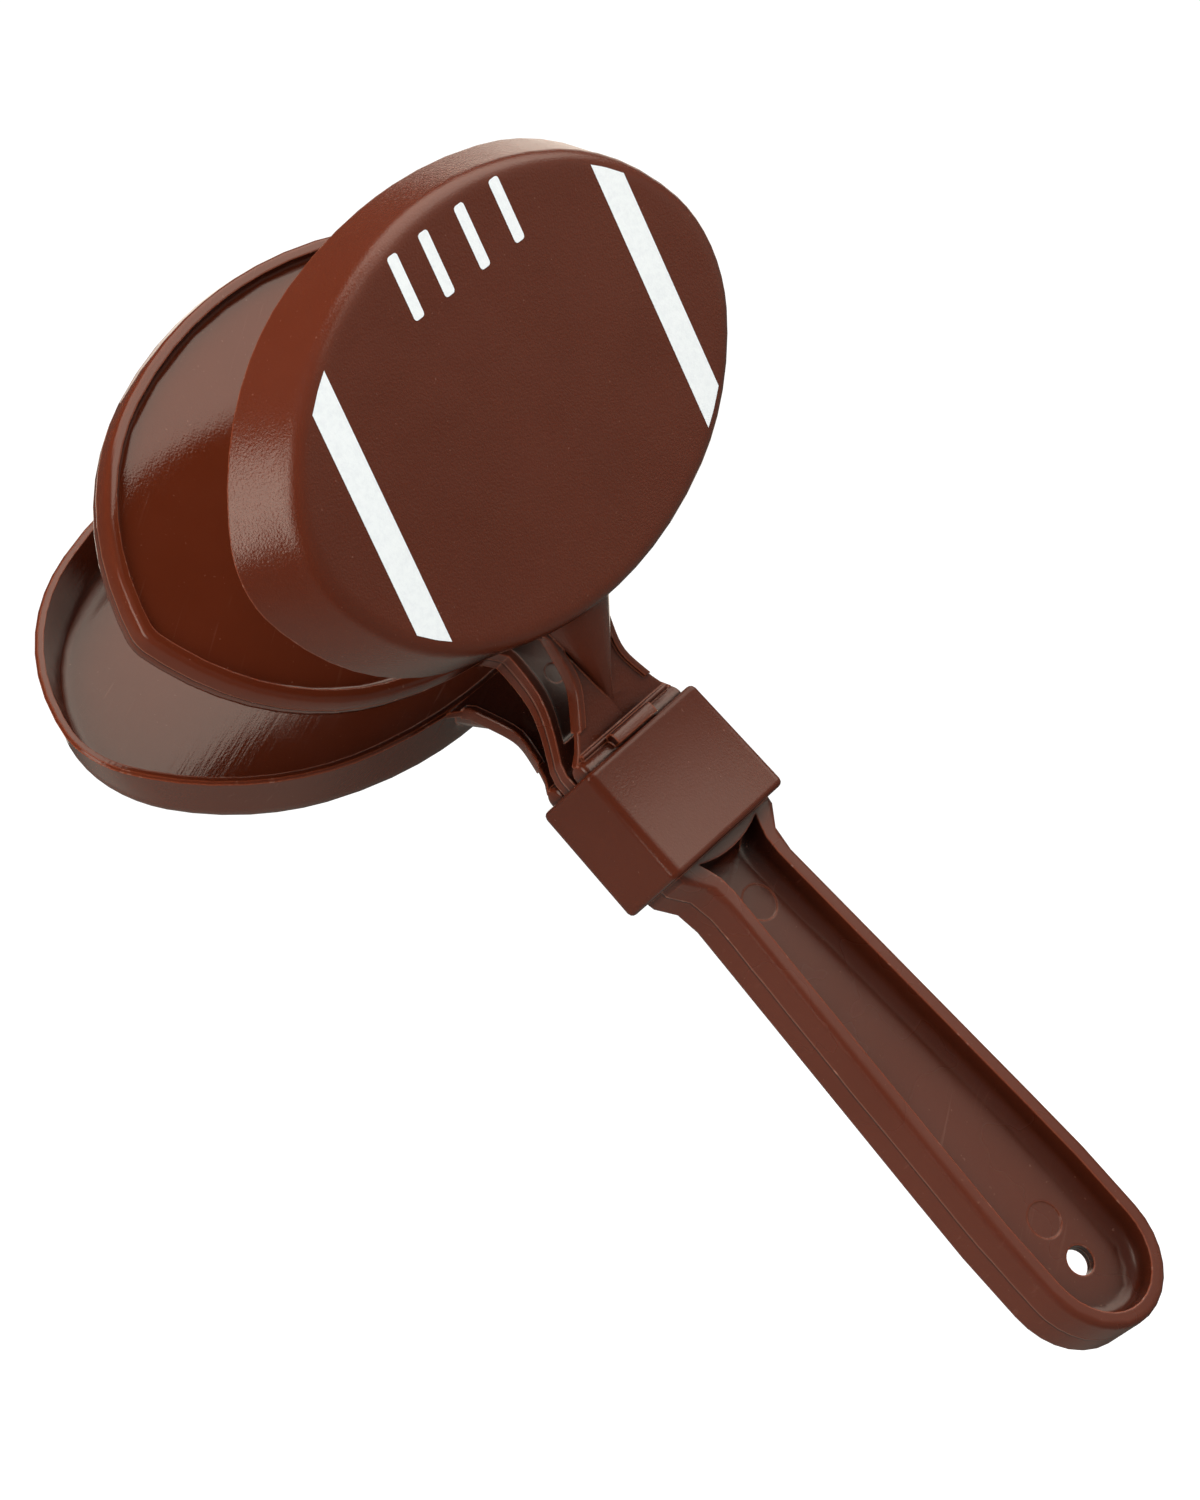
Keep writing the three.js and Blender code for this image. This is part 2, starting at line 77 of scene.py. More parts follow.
# %% [markdown]
# ## Soft shading on the mouldings
#
# The frame's solids are made of plain facets. A real moulding has smooth curves that meet in definite
# edges. One could remodel every piece, but the shapes are right, so a small Geometry Nodes modifier is
# enough: it merges the facets' corners, shades everything smooth and keeps a crease wherever two faces
# meet at a clear angle. A Weighted Normal modifier after it lets the big flat faces stay flat right up to
# their fillets, as polished mould faces do.

# %% A modifier that shades the facets as one surface
def soft_shading_group(name, crease_degrees, weld_distance=2e-6):
    group = bpy.data.node_groups.new(name, "GeometryNodeTree")
    group.interface.new_socket("Geometry", in_out="INPUT", socket_type="NodeSocketGeometry")
    group.interface.new_socket("Geometry", in_out="OUTPUT", socket_type="NodeSocketGeometry")
    nodes, links = group.nodes, group.links
    source = nodes.new("NodeGroupInput")
    target = nodes.new("NodeGroupOutput")
    weld = nodes.new("GeometryNodeMergeByDistance")
    weld.inputs["Distance"].default_value = weld_distance
    plain = nodes.new("GeometryNodeSetMeshNormal")
    plain.mode = "SHARPNESS"
    faces = nodes.new("GeometryNodeSetShadeSmooth")
    faces.domain = "FACE"
    angle = nodes.new("GeometryNodeInputMeshEdgeAngle")
    crease = nodes.new("FunctionNodeCompare")
    crease.data_type = "FLOAT"
    crease.operation = "GREATER_THAN"
    crease.inputs[1].default_value = math.radians(crease_degrees)
    edges = nodes.new("GeometryNodeSetShadeSmooth")
    edges.domain = "EDGE"
    edges.inputs["Shade Smooth"].default_value = False
    links.new(source.outputs[0], weld.inputs["Geometry"])
    links.new(weld.outputs["Geometry"], plain.inputs["Mesh"])
    links.new(plain.outputs["Mesh"], faces.inputs["Geometry"])
    links.new(faces.outputs["Geometry"], edges.inputs["Geometry"])
    links.new(angle.outputs["Unsigned Angle"], crease.inputs[0])
    links.new(crease.outputs["Result"], edges.inputs["Selection"])
    links.new(edges.outputs["Geometry"], target.inputs[0])
    return group


soft_shading = soft_shading_group("soft shading", 32)
for name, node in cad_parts.items():
    shade = node.modifiers.new("soft shading", "NODES")
    shade.node_group = soft_shading
    weighted = node.modifiers.new("flat faces stay flat", "WEIGHTED_NORMAL")
    weighted.mode = "FACE_AREA"
    weighted.weight = 80
    weighted.keep_sharp = True
print("soft shading on", len(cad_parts), "mouldings")

# %% [markdown]
# ## Helpers for building materials
#
# The materials below are node graphs. A few tiny helpers keep them readable. `add` makes a node with its
# settings and fills its sockets, by name or, as in `i0`, by number. `effect_group` makes a named group whose
# sockets say what the effect takes and gives. `ramp` turns a range of one value into a range of another,
# `calc` does one sum, and `blend_colour` mixes two colours.

# %% Node helpers
def add(tree, kind, settings=None, **inputs):
    node = tree.nodes.new(kind)
    for key, value in (settings or {}).items():
        setattr(node, key, value)
    for key, value in inputs.items():
        numbered = key.startswith("i") and key[1:].isdigit()
        socket = node.inputs[int(key[1:]) if numbered else key.replace("_", " ")]
        if isinstance(value, bpy.types.NodeSocket):
            tree.links.new(value, socket)
        else:
            socket.default_value = value
    return node


def effect_group(name, takes, gives):
    group = bpy.data.node_groups.new(name, "ShaderNodeTree")
    for label, kind, default in takes:
        socket = group.interface.new_socket(label, in_out="INPUT", socket_type=kind)
        if default is not None:
            socket.default_value = default
    for label, kind in gives:
        group.interface.new_socket(label, in_out="OUTPUT", socket_type=kind)
    return group, group.nodes.new("NodeGroupInput"), group.nodes.new("NodeGroupOutput")


FLOAT, COLOUR, VECTOR = "NodeSocketFloat", "NodeSocketColor", "NodeSocketVector"


def ramp(tree, value, low, high, to_low=0.0, to_high=1.0):
    node = add(tree, "ShaderNodeMapRange", {"interpolation_type": "SMOOTHSTEP", "clamp": True}, Value=value)
    for key, number in (("From Min", low), ("From Max", high), ("To Min", to_low), ("To Max", to_high)):
        node.inputs[key].default_value = number
    return node.outputs["Result"]


def calc(tree, operation, a, b=None, clamp=False):
    node = add(tree, "ShaderNodeMath", {"operation": operation, "use_clamp": clamp})
    for index, value in enumerate((a, b)):
        if isinstance(value, bpy.types.NodeSocket):
            tree.links.new(value, node.inputs[index])
        elif value is not None:
            node.inputs[index].default_value = value
    return node.outputs[0]


def blend_colour(tree, factor, a, b, kind="MIX"):
    node = add(tree, "ShaderNodeMix", {"data_type": "RGBA", "blend_type": kind})
    for index, value in ((0, factor), (6, a), (7, b)):
        if isinstance(value, bpy.types.NodeSocket):
            tree.links.new(value, node.inputs[index])
        else:
            node.inputs[index].default_value = value
    return node.outputs[2]


print("helpers ready")

# %% [markdown]
# ## The skin that every moulding shares
#
# Moulded plastic copies the steel it was pressed against. The steel is not a mirror: it is blasted or
# stoned to a fine satin, so the plastic carries a stipple of about four tenths of a millimetre, under a much
# larger, very shallow waviness where the plastic shrank as it cooled. Both are made once, in a group, and
# each material asks for its own strength. The heights are in millimetres, and the Bump node at the end turns
# them into metres. A picture of such a surface could do the same, but noise works in real millimetres from
# any distance and on any side.

# %% Moulded skin group
skin, skin_in, skin_out = effect_group(
    "moulded skin",
    [("Position", VECTOR, None), ("Stipple", FLOAT, 1.0), ("Waviness", FLOAT, 1.0)],
    [("Height", FLOAT), ("Cloud", FLOAT), ("Fleck", FLOAT)],
)
skin_place = skin_in.outputs["Position"]


def skin_noise(grains_per_metre, detail, roughness):
    noise = add(skin, "ShaderNodeTexNoise", Vector=skin_place, Scale=grains_per_metre, Detail=detail,
                Roughness=roughness)
    return noise.outputs["Fac"]


stipple = skin_noise(2600.0, 2.0, 0.6)
waves = skin_noise(95.0, 1.5, 0.45)
cloud = skin_noise(38.0, 3.0, 0.55)
fleck = skin_noise(1500.0, 1.0, 0.5)
fine = calc(skin, "MULTIPLY", calc(skin, "SUBTRACT", stipple, 0.5), skin_in.outputs["Stipple"])
broad = calc(skin, "MULTIPLY", calc(skin, "SUBTRACT", waves, 0.5), skin_in.outputs["Waviness"])
fine_depth, broad_depth = 0.02, 0.12
fine_height = calc(skin, "MULTIPLY", fine, fine_depth)
broad_height = calc(skin, "MULTIPLY", broad, broad_depth)
fleck_starts, fleck_full = 0.73, 0.84
skin.links.new(calc(skin, "ADD", fine_height, broad_height), skin_out.inputs["Height"])
skin.links.new(cloud, skin_out.inputs["Cloud"])
skin.links.new(ramp(skin, fleck, fleck_starts, fleck_full), skin_out.inputs["Fleck"])
print("moulded skin gives", [s.name for s in skin.interface.items_tree if s.in_out == "OUTPUT"])

# %% [markdown]
# ## Rounded edges with a painted highlight
#
# Every edge of a moulding is a little round and, in thin plastic, light gets through it, so it looks a little
# lighter. That lighter colour is a painted highlight, with a little of the polish of hands in it. The Bevel
# node looks a short way round the edge and returns a rounded normal. Where that normal differs from the plain
# one, there is an edge, so the same node gives both the rounded highlight and a mask for the painted
# highlight.

# %% Rounded edge group
edge, edge_in, edge_out = effect_group(
    "rounded edge",
    [("Position", VECTOR, None), ("Radius", FLOAT, 0.0005)],
    [("Normal", VECTOR), ("Edge", FLOAT), ("Nick", FLOAT)],
)
rounding = add(edge, "ShaderNodeBevel", {"samples": 6}, Radius=edge_in.outputs["Radius"])
chips = add(edge, "ShaderNodeTexNoise", Vector=edge_in.outputs["Position"], Scale=700.0, Detail=2.0)
plain_normal = add(edge, "ShaderNodeNewGeometry")
agree = add(edge, "ShaderNodeVectorMath", {"operation": "DOT_PRODUCT"},
            i0=rounding.outputs["Normal"], i1=plain_normal.outputs["Normal"])
almost_flat, well_round = 0.995, 0.9
chip_starts, chip_full = 0.6, 0.68
on_edge = ramp(edge, agree.outputs["Value"], almost_flat, well_round)
chipped = ramp(edge, chips.outputs["Fac"], chip_starts, chip_full)
edge.links.new(rounding.outputs["Normal"], edge_out.inputs["Normal"])
edge.links.new(on_edge, edge_out.inputs["Edge"])
edge.links.new(calc(edge, "MULTIPLY", on_edge, chipped), edge_out.inputs["Nick"])
print("rounded edge ready")

# %% [markdown]
# ## A wider roll from wall to face
#
# The outer paddles turn from wall to face in a roll several millimetres wide. The model has a smaller
# fillet there. A second Bevel node with a larger reach makes the light roll over more slowly. It fades in
# between 8.5 and 4.5 mm below the face, so that the thin rim keeps its crisp edges.

# %% Wide roll group
roll_over, roll_in, roll_out = effect_group(
    "wide roll",
    [("Position", VECTOR, None), ("Face point", VECTOR, None), ("Face normal", VECTOR, None),
     ("Reach", FLOAT, 0.003), ("Normal", VECTOR, None)],
    [("Normal", VECTOR)],
)
wide = add(roll_over, "ShaderNodeBevel", {"samples": 8}, Radius=roll_in.outputs["Reach"])
from_face = add(roll_over, "ShaderNodeVectorMath", {"operation": "SUBTRACT"},
                i0=roll_in.outputs["Position"], i1=roll_in.outputs["Face point"])
height_over = add(roll_over, "ShaderNodeVectorMath", {"operation": "DOT_PRODUCT"},
                  i0=from_face.outputs["Vector"], i1=roll_in.outputs["Face normal"])
roll_starts, roll_full = -0.0085, -0.0045
near_face = ramp(roll_over, height_over.outputs["Value"], roll_starts, roll_full)
rolled = add(roll_over, "ShaderNodeMix", {"data_type": "VECTOR"}, i0=near_face,
             i4=roll_in.outputs["Normal"], i5=wide.outputs["Normal"])
level_out = add(roll_over, "ShaderNodeVectorMath", {"operation": "NORMALIZE"}, i0=rolled.outputs[1])
roll_over.links.new(level_out.outputs["Vector"], roll_out.inputs["Normal"])
print("wide roll ready")

# %% [markdown]
# ## Corners, painted darker
#
# Inner corners are painted darker than light alone would make them: a painted shade in the body colour.
# Ambient occlusion measures how closed in a point is: short rays either escape or meet a wall. The value
# goes into the body colour, never into a light.

# %% Painted corner shade group
corner, corner_in, corner_out = effect_group(
    "deep corners",
    [("Reach", FLOAT, 0.007)],
    [("Open", FLOAT)],
)
closed_in = add(corner, "ShaderNodeAmbientOcclusion", {"samples": 6}, Distance=corner_in.outputs["Reach"])
shut, wide_open = 0.45, 0.97
corner.links.new(ramp(corner, closed_in.outputs["AO"], shut, wide_open), corner_out.inputs["Open"])
print("corners ready")

# %% [markdown]
# ## The seam of the mould
#
# The grip and the centre paddle were made between two mould halves that met half way through their
# thickness. That leaves a hair-thin ridge along every side wall, with small bright nicks where flash was
# trimmed off. The ridge is painted a little paler, a painted highlight, and a darker line beside it is
# painted shade. The seam always lies in one plane, so the distance from that plane is all it takes to draw
# it. One noise lets it wander by a hair, and another makes the nicks.

# %% Mould seam group
seam, seam_in, seam_out = effect_group(
    "mould seam",
    [("Position", VECTOR, None), ("Width", FLOAT, 0.00026)],
    [("Ridge", FLOAT), ("Nick", FLOAT), ("Groove", FLOAT)],
)
seam_place = seam_in.outputs["Position"]
drift_reach, shade_line_offset = 0.0009, 0.00036
nick_starts, nick_full = 0.6, 0.7
seam_axes = add(seam, "ShaderNodeSeparateXYZ", Vector=seam_place)
wander = add(seam, "ShaderNodeTexNoise", Vector=seam_place, Scale=60.0, Detail=3.0)
nick_noise = add(seam, "ShaderNodeTexNoise", Vector=seam_place, Scale=420.0, Detail=2.0)
drift = calc(seam, "MULTIPLY", calc(seam, "SUBTRACT", wander.outputs["Fac"], 0.5), drift_reach)
across_seam = calc(seam, "ADD", seam_axes.outputs["Y"], drift)


def hair_line(offset):
    distance = calc(seam, "ABSOLUTE", calc(seam, "SUBTRACT", across_seam, offset))
    return calc(seam, "SUBTRACT", 1.0, calc(seam, "DIVIDE", distance, seam_in.outputs["Width"]), clamp=True)


ridge = hair_line(0.0)
nick = calc(seam, "MULTIPLY", ridge, ramp(seam, nick_noise.outputs["Fac"], nick_starts, nick_full))
seam.links.new(ridge, seam_out.inputs["Ridge"])
seam.links.new(nick, seam_out.inputs["Nick"])
seam.links.new(hair_line(shade_line_offset), seam_out.inputs["Groove"])
print("mould seam ready")

# %% [markdown]
# ## Scuffs
#
# The paddles slap and slide on each other, so their inner faces carry fine straight scratches, mostly in
# one direction, in patches. A noise stretched almost thirty times along one axis gives hair lines, and a
# second, large noise lets them show only here and there. The same stretched noise, used gently as relief,
# frays the border of a reflection, as the polishing marks of the mould do.

# %% Scuff group
scuff, scuff_in, scuff_out = effect_group(
    "scuffs",
    [("Position", VECTOR, None), ("Turn", FLOAT, 0.5), ("Amount", FLOAT, 1.0)],
    [("Scratch", FLOAT), ("Haze", FLOAT), ("Brushed", FLOAT)],
)
turned = add(scuff, "ShaderNodeVectorRotate", {"rotation_type": "AXIS_ANGLE"},
             Vector=scuff_in.outputs["Position"], Axis=(0.0, 1.0, 0.0), Angle=scuff_in.outputs["Turn"])
stretch = (60.0, 300.0, 1700.0)
long_lines = add(scuff, "ShaderNodeMapping", Vector=turned.outputs["Vector"], Scale=stretch)
hairs = add(scuff, "ShaderNodeTexNoise", Vector=long_lines.outputs["Vector"], Scale=1.0, Detail=2.0)
patches = add(scuff, "ShaderNodeTexNoise", Vector=scuff_in.outputs["Position"], Scale=55.0, Detail=2.0)
hair_starts, hair_full = 0.64, 0.74
patch_starts, patch_full = 0.45, 0.65
hair_mask = ramp(scuff, hairs.outputs["Fac"], hair_starts, hair_full)
patch_mask = ramp(scuff, patches.outputs["Fac"], patch_starts, patch_full)
haze = calc(scuff, "MULTIPLY", patch_mask, scuff_in.outputs["Amount"])
scuff.links.new(haze, scuff_out.inputs["Haze"])
scuff.links.new(calc(scuff, "MULTIPLY", hair_mask, haze), scuff_out.inputs["Scratch"])
scuff.links.new(calc(scuff, "SUBTRACT", hairs.outputs["Fac"], 0.5), scuff_out.inputs["Brushed"])
print("scuffs ready")

# %% [markdown]
# ## Brown plastic
#
# One batch of plastic makes all four mouldings: a dark reddish brown, fairly glossy, that lets a little
# light into thin walls. Each moulding gets its own material, because each has its own marks. They share
# this recipe, and each step of it is a function of its own: the body colour, the wear on it, the
# roughness, and the relief. A small share of subsurface scattering gives thin edges their orange glow.

# %% The colours of the plastic
dark_brown = (0.094, 0.0165, 0.0058, 1.0)
warm_brown = (0.104, 0.019, 0.007, 1.0)
# painted shade colour: used in corners, on the line beside the seam and in the channel under the collar
shade_brown = (0.021, 0.0042, 0.0020, 1.0)
# lit_edge is the colour of the painted highlight on edges
lit_edge = (0.29, 0.066, 0.027, 1.0)
# pale colour for wear marks and for painted highlights on the seam ridge and edge nicks
pale_wear_and_highlight = (0.34, 0.16, 0.11, 1.0)
print("body colour", dark_brown[:3], "to", warm_brown[:3])

# %% [markdown]
# ### Colour, painted shade and highlight, and wear
#
# The body colour drifts slightly. The whole moulding can be darkened by `shade`, and the colour is painted
# darker in the corners and in a line beside the seam: all painted shade. The edges are painted lighter, a
# painted highlight. One pale colour is laid over it by a mask: the strongest of the seam ridge, a painted
# highlight; of the seam's nicks, the specks and the scratches, which are wear; and of the nicks on edges,
# which are wear and painted highlight at once. Adding the masks would make them too bright where they cross,
# so the largest is taken. The strengths at the top and those in the list say how much of each shows.

# %% Body colour with painted shade and highlight, and wear
cloud_range = (0.3, 0.7)
edge_strength, seam_shade_strength = 0.75, 0.8


def body_colour(tree, parts, shade, seam_strength):
    colour = blend_colour(tree, ramp(tree, parts["skin"]["Cloud"], *cloud_range), dark_brown, warm_brown)
    # painted shade: `shade` darkens the whole moulding's colour
    colour = blend_colour(tree, 1.0, colour, (shade, shade, shade, 1.0), "MULTIPLY")
    # painted shade: closed-in corners take the dark shade colour
    colour = blend_colour(tree, parts["corners"]["Open"], shade_brown, colour)
    # painted highlight: edges are lightened towards lit_edge
    lit = calc(tree, "MULTIPLY", parts["rim"]["Edge"], edge_strength)
    colour = blend_colour(tree, lit, colour, lit_edge)
    # painted shade: a darker line beside the seam ridge
    seam_shade = calc(tree, "MULTIPLY", parts["seam"]["Groove"], seam_strength * seam_shade_strength)
    return blend_colour(tree, seam_shade, colour, shade_brown)


def wear_and_highlight_colour(tree, parts, colour, seam_strength):
    wear_and_highlight = 0.0
    for mask, strength in [
        # the seam ridge is a painted highlight, edge nicks are wear and painted highlight, the rest is wear
        (parts["seam"]["Ridge"], 0.35 * seam_strength),
        (parts["seam"]["Nick"], 1.0 * seam_strength),
        (parts["rim"]["Nick"], 0.7),
        (parts["skin"]["Fleck"], 0.22),
        (parts["marks"]["Scratch"], 0.2),
    ]:
        wear_and_highlight = calc(tree, "MAXIMUM", wear_and_highlight, calc(tree, "MULTIPLY", mask, strength))
    return blend_colour(tree, wear_and_highlight, colour, pale_wear_and_highlight)


print("colour steps ready")

# %% [markdown]
# ### Grip and blade in one moulding
#
# The handle's moulding is satin where a hand holds it and polished on the flat paddle, so its roughness
# changes with height. The channel of the grip is also painted darker just under the collar, a painted shade,
# and made a little rougher there: a mask between two heights and between the two rims puts it there.

# %% Satin grip and the painted shade under the collar
shade_below_lip, unshaded_above_lip = (-0.0035, -0.001), (0.001, 0.002)
channel_half_width = (0.0075, 0.0095)
under_collar_shade_strength, under_collar_shade_roughness = 0.5, 0.2
satin_fade = 0.006


def grip_differences(tree, place, colour, rough, roughness, level, satin, lip):
    spot = add(tree, "ShaderNodeSeparateXYZ", Vector=place)
    shade_starts, shade_full = (lip + offset for offset in shade_below_lip)
    unshaded_starts, unshaded = (lip + offset for offset in unshaded_above_lip)
    # painted shade: the channel just under the collar is darkened in colour, between the two rims
    under_collar = ramp(tree, spot.outputs["Z"], shade_starts, shade_full, 0.0, under_collar_shade_strength)
    above_lip = ramp(tree, spot.outputs["Z"], unshaded_starts, unshaded, 1.0, 0.0)
    between_rims = ramp(tree, calc(tree, "ABSOLUTE", spot.outputs["X"]), *channel_half_width, 1.0, 0.0)
    painted_shade = calc(tree, "MULTIPLY", calc(tree, "MULTIPLY", under_collar, above_lip), between_rims)
    colour = blend_colour(tree, painted_shade, colour, shade_brown)
    softer = ramp(tree, spot.outputs["Z"], level - satin_fade, level + satin_fade, satin - roughness, 0.0)
    rough = calc(tree, "ADD", rough, softer)
    return colour, calc(tree, "ADD", rough, calc(tree, "MULTIPLY", painted_shade, under_collar_shade_roughness))


print("grip differences ready")

# %% [markdown]
# ### Relief
#
# All small heights, in millimetres, are added up and go through one Bump node, on top of the rounded normal
# of the edges. The sheen on the collar's flat walls bends as if they had sunk a little when they cooled, as
# thick plastic does. A shallow bowl, lowest in the middle, gives that. Its depth was chosen to match
# the sheen in the photograph, and is not a measured form.

# %% Heights for the bump
seam_rise, scratch_depth = 0.08, 0.02


def relief_height(tree, parts, place, seam_strength, brushed, sunk):
    seam_height = calc(tree, "MULTIPLY", parts["seam"]["Ridge"], seam_strength * seam_rise)
    scratch_height = calc(tree, "MULTIPLY", parts["marks"]["Scratch"], scratch_depth)
    brushed_height = calc(tree, "MULTIPLY", parts["marks"]["Brushed"], brushed)
    height = calc(tree, "ADD", parts["skin"]["Height"], seam_height)
    height = calc(tree, "SUBTRACT", height, scratch_height)
    height = calc(tree, "ADD", height, brushed_height)
    if sunk:
        level, half_width, half_height, depth = sunk
        spot = add(tree, "ShaderNodeSeparateXYZ", Vector=place)
        across = calc(tree, "DIVIDE", spot.outputs["X"], half_width)
        along = calc(tree, "DIVIDE", calc(tree, "SUBTRACT", spot.outputs["Z"], level), half_height)
        across_squared = calc(tree, "MULTIPLY", across, across)
        along_squared = calc(tree, "MULTIPLY", along, along)
        bowl = calc(tree, "ADD", across_squared, along_squared)
        height = calc(tree, "ADD", height, calc(tree, "MULTIPLY", bowl, depth))
    return height


print("relief ready")

# %% [markdown]
# ### The recipe
#
# The recipe places the effect groups, joins the steps above and ends in one shader. Numbers that are the
# same all over a moulding, such as the index of refraction, are set on the shader itself. The roughness
# drifts a little, up and down from the moulding's own.

# %% Recipe for a brown moulding
light_inside = {
    "Subsurface Weight": 0.12,
    "Subsurface Radius": (1.0, 0.32, 0.16),
    "Subsurface Scale": 0.0012,
}
roughness_drift, haze_roughness = 0.03, 0.05


def brown_plastic(name, roughness, stipple_strength=1.0, waviness=1.0, seam_strength=0.0, scuff_amount=0.0,
                  scuff_turn=0.5, brushed=0.0, index=1.5, face=None, satin_below=None, corner_reach=0.010,
                  sunk=None, shade=1.0):
    material = bpy.data.materials.new(name)
    material.use_nodes = True
    tree = material.node_tree
    tree.nodes.clear()
    place = add(tree, "ShaderNodeTexCoord").outputs["Object"]

    def effect(group, **inputs):
        return add(tree, "ShaderNodeGroup", {"node_tree": group}, **inputs).outputs

    parts = {
        "skin": effect(skin, Position=place, Stipple=stipple_strength, Waviness=waviness),
        "rim": effect(edge, Position=place),
        "seam": effect(seam, Position=place),
        "marks": effect(scuff, Position=place, Turn=scuff_turn, Amount=scuff_amount),
        "corners": effect(corner, Reach=corner_reach),
    }
    colour = body_colour(tree, parts, shade, seam_strength)
    colour = wear_and_highlight_colour(tree, parts, colour, seam_strength)
    rough = ramp(tree, parts["skin"]["Cloud"], *cloud_range,
                 roughness - roughness_drift, roughness + roughness_drift)
    if satin_below:
        colour, rough = grip_differences(tree, place, colour, rough, roughness, *satin_below)
    rough = calc(tree, "ADD", rough, calc(tree, "MULTIPLY", parts["marks"]["Haze"], haze_roughness))
    height = relief_height(tree, parts, place, seam_strength, brushed, sunk)
    turned_normal = parts["rim"]["Normal"]
    if face:
        point, outward = face
        turned_normal = effect(roll_over, Position=place, Normal=turned_normal, Face_point=point,
                               Face_normal=outward)["Normal"]
    relief = add(tree, "ShaderNodeBump", Height=height, Normal=turned_normal, Distance=0.001, Strength=1.0)
    plastic = add(tree, "ShaderNodeBsdfPrincipled", Base_Color=colour, Roughness=rough,
                  Normal=relief.outputs["Normal"])
    plastic.inputs["IOR"].default_value = index
    for socket, value in light_inside.items():
        plastic.inputs[socket].default_value = value
    target = add(tree, "ShaderNodeOutputMaterial")
    tree.links.new(plastic.outputs["BSDF"], target.inputs["Surface"])
    return material


print("recipe ready")

# %% [markdown]
# ### Four mouldings, four finishes
#
# The outer paddles are stippled outside; the rear one shows its polished inside, with brushed marks. The
# grip has the seam. The collar has sunken walls, and `shade` darkens its colour, a painted shade; the front
# paddle's colour is darkened a little the same way. The number after each name is the roughness. Lengths
# are in metres, as everywhere in Blender. `satin_below` says that the grip turns from a satin of 0.27 to
# gloss 98 mm up, and that the collar ends at 50 mm. `sunk` says where the middle of a collar wall is, how
# far it reaches sideways and upwards, and how deep the bowl is in millimetres.

# %% Finish of each moulding
rear_middle, rear_normal, _ = flat_face("rear_paddle", Vector((0, 1, 0)))
finishes = {
    "front_paddle": brown_plastic(
        "front paddle plastic", 0.15, stipple_strength=2.8, index=1.52, corner_reach=0.018, shade=0.97,
        face=(front_middle, front_normal)),
    "rear_paddle": brown_plastic(
        "rear paddle plastic", 0.07, stipple_strength=0.5, waviness=0.15, scuff_amount=0.4, scuff_turn=0.27,
        brushed=0.020, index=1.48, corner_reach=0.028, face=(rear_middle, rear_normal)),
    "handle_and_centre_paddle": brown_plastic(
        "grip plastic", 0.07, stipple_strength=0.6, waviness=0.2, seam_strength=1.0, scuff_amount=0.5,
        brushed=0.010, satin_below=(0.098, 0.27, 0.0500), corner_reach=0.013),
    # shade=0.80 paints the collar's colour darker: a painted shade
    "collar": brown_plastic(
        "collar plastic", 0.2, stipple_strength=1.4, waviness=0.5, index=1.4,
        sunk=(0.0603, 0.0143, 0.0106, 0.60), shade=0.80),
}
for name, material in finishes.items():
    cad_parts[name].material_slots[0].material = material
    print(name, "wears", material.name)

# %% [markdown]
# ## The white print
#
# The front face is pad printed with the stripes and laces of a ball, in thick white ink. Ink could be
# painted by a mask in the plastic's material, but its crisp edge and slight thickness look best as a thin
# piece of its own. Each stripe is cut to the outline of the flat face, which is read from the face
# itself, and each lace is a bar with round ends. They all lie four hundredths of a millimetre proud.

# %% The outline of the printed face
def on_face(across, up, proud=0.0):
    return front_middle + Vector((across, 0, 0)) + front_up * up + front_normal * proud


def across_and_up(point):
    offset = point - front_middle
    return round(offset.x, 5), round(offset.dot(front_up), 5)


outline = sorted({across_and_up(point) for point in front_corners})


def face_half_height(across):
    upper = sorted((x, up) for x, up in outline if up > 0.001)
    for (x0, up0), (x1, up1) in zip(upper, upper[1:]):
        if x0 <= across <= x1:
            return up0 + (up1 - up0) * (across - x0) / (x1 - x0)
    return 0.0


half_height_mm = round(face_half_height(0.035) * 1000, 2)
print("face outline has", len(outline), "corners; half height at 35 mm is", half_height_mm)

# %% A thin printed piece from its outline
def printed_piece(name, corners, thickness=0.00004, bite=0.00002):
    mesh = bpy.data.meshes.new(name)
    shape = bmesh.new()
    top = [shape.verts.new(on_face(x, up, thickness)) for x, up in corners]
    foot = [shape.verts.new(on_face(x, up, -bite)) for x, up in corners]
    shape.faces.new(top)
    shape.faces.new(list(reversed(foot)))
    for i in range(len(top)):
        j = (i + 1) % len(top)
        shape.faces.new((foot[i], foot[j], top[j], top[i]))
    bmesh.ops.recalc_face_normals(shape, faces=shape.faces)
    shape.to_mesh(mesh)
    shape.free()
    piece = bpy.data.objects.new(name, mesh)
    bpy.context.scene.collection.objects.link(piece)
    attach(piece, "front_clapper")
    return piece


def stripe_corners(inner, outer, steps=6):
    across = [inner + (outer - inner) * i / steps for i in range(steps + 1)]
    margin = 0.0002
    upper = [(x, face_half_height(abs(x)) - margin) for x in across]
    return [(x, -up) for x, up in upper] + list(reversed(upper))


def lace_corners(centre, low, high, width, corner_radius=0.0006, steps=4):
    half = width / 2
    ends = [(1, 1, high), (-1, 1, high), (-1, -1, low), (1, -1, low)]
    corners = []
    for number, (side, end, level) in enumerate(ends):
        middle = (centre + side * (half - corner_radius), level - end * corner_radius)
        for i in range(steps + 1):
            turn = math.pi / 2 * (number + i / steps)
            outward = (math.cos(turn), math.sin(turn))
            corners.append(tuple(m + corner_radius * o for m, o in zip(middle, outward)))
    return corners


